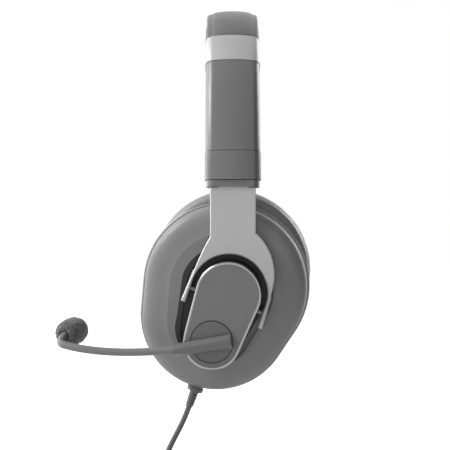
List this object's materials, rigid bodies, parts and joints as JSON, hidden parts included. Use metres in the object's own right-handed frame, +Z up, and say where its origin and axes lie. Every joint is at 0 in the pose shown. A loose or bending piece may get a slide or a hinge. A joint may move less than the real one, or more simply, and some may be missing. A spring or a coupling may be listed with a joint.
{
  "type": "aviation headset",
  "caption": "Closed-back over-ear aviation headset with a padded headband, swivelling yokes, leatherette ear cushions, a boom microphone and a lead with a jack plug",
  "frame": {"origin": "midway between the faces of the two ear cushions, on the axis through the ears", "axes": "+X points to the wearer's left ear, +Y to the back of the head and +Z up to the crown of the band"},
  "size_m": [0.1713, 0.1328, 0.3011],
  "materials": {
    "band_leatherette": "fine-grained black leatherette, semi-matt",
    "cushion_leatherette": "soft black protein leather, semi-matt",
    "spring_steel": "bare spring steel",
    "satin_silver": "satin silver-grey",
    "dark_plastic": "moulded black plastic",
    "cover_plastic": "dark grey satin plastic",
    "shell_plastic": "dark grey satin plastic",
    "plate_plastic": "grey satin plastic",
    "baffle_plastic": "grey satin plastic",
    "hub_plastic": "dark grey satin plastic",
    "trim_metal": "fine satin aluminium",
    "screw_steel": "plain steel",
    "magnet_metal": "plated steel",
    "diaphragm_film": "thin formed film",
    "boom_rubber": "smooth dark rubber",
    "windscreen_foam": "open-cell black foam",
    "cord_rubber": "smooth black rubber",
    "jack_chrome": "polished nickel",
    "tie_fabric": "woven black hook tape"
  },
  "bodies": {
    "headband": {"headband_cover": "band_leatherette", "headband_cushion": "band_leatherette", "headband_spring": "spring_steel", "left_accent_sleeve": "satin_silver", "right_accent_sleeve": "satin_silver", "left_side_cover": "cover_plastic", "right_side_cover": "cover_plastic", "headband_rivets": "spring_steel", "left_detent_spring": "spring_steel", "right_detent_spring": "spring_steel"},
    "mic_boom": {"boom_hub": "hub_plastic", "boom_screw": "screw_steel", "boom_arm": "hub_plastic", "boom_tube": "boom_rubber", "capsule_housing": "dark_plastic", "mic_capsule": "magnet_metal", "windscreen": "windscreen_foam"},
    "left_slider": {"left_slider_tongue": "spring_steel", "left_slider_housing": "cover_plastic", "left_slider_screws": "screw_steel"},
    "left_yoke_body": {"left_yoke_collar": "cover_plastic", "left_yoke": "satin_silver", "left_swivel_pin": "screw_steel", "left_pivot_pins": "screw_steel"},
    "left_cup": {"left_housing": "shell_plastic", "left_trim_ring": "trim_metal", "left_cover_plate": "plate_plastic", "left_baffle": "baffle_plastic", "left_cup_screws": "screw_steel", "left_driver_frame": "dark_plastic", "left_driver_magnet": "magnet_metal", "left_diaphragm": "diaphragm_film", "left_driver_grille": "dark_plastic", "left_cushion_ring": "dark_plastic", "left_ear_cushion": "cushion_leatherette", "cable_gland": "dark_plastic", "strain_relief": "cord_rubber", "cord_drop": "cord_rubber", "cord_coil": "cord_rubber", "cord_tie": "tie_fabric", "jack_plug": "dark_plastic", "jack_pin": "jack_chrome"},
    "right_slider": {"right_slider_tongue": "spring_steel", "right_slider_housing": "cover_plastic", "right_slider_screws": "screw_steel"},
    "right_yoke_body": {"right_yoke_collar": "cover_plastic", "right_yoke": "satin_silver", "right_swivel_pin": "screw_steel", "right_pivot_pins": "screw_steel"},
    "right_cup": {"right_housing": "shell_plastic", "right_trim_ring": "trim_metal", "right_cover_plate": "plate_plastic", "right_baffle": "baffle_plastic", "right_cup_screws": "screw_steel", "right_driver_frame": "dark_plastic", "right_driver_magnet": "magnet_metal", "right_diaphragm": "diaphragm_film", "right_driver_grille": "dark_plastic", "right_cushion_ring": "dark_plastic", "right_ear_cushion": "cushion_leatherette"}
  },
  "joints": [
    {"name": "left_size_slide", "type": "slide", "parent": "headband", "child": "left_slider", "axis": [0.1908, 0, -0.9816], "range_m": [0, 0.02]},
    {"name": "right_size_slide", "type": "slide", "parent": "headband", "child": "right_slider", "axis": [-0.1908, 0, -0.9816], "range_m": [0, 0.02]},
    {"name": "left_yoke_swivel", "type": "hinge", "parent": "left_slider", "child": "left_yoke_body", "pos_m": [0.07265, 0, 0.05481], "axis": [-0.0523, 0, 0.9986], "range_deg": [-10, 90]},
    {"name": "right_yoke_swivel", "type": "hinge", "parent": "right_slider", "child": "right_yoke_body", "pos_m": [-0.07265, 0, 0.05481], "axis": [-0.0523, 0, -0.9986], "range_deg": [-10, 90]},
    {"name": "left_cup_tilt", "type": "hinge", "parent": "left_yoke_body", "child": "left_cup", "pos_m": [0.07584, -0.0033, -0.00611], "axis": [0.0174, 0.9432, -0.3317], "range_deg": [-18, 0.6]},
    {"name": "right_cup_tilt", "type": "hinge", "parent": "right_yoke_body", "child": "right_cup", "pos_m": [-0.07584, -0.0033, -0.00611], "axis": [0.0174, -0.9432, 0.3317], "range_deg": [-18, 0.6]},
    {"name": "boom_turn", "type": "hinge", "parent": "left_cup", "child": "mic_boom", "pos_m": [0.08051, -0.01065, -0.02677], "axis": [-0.9941, 0.052, 0.0957], "range_deg": [-25, 74]}
  ]
}
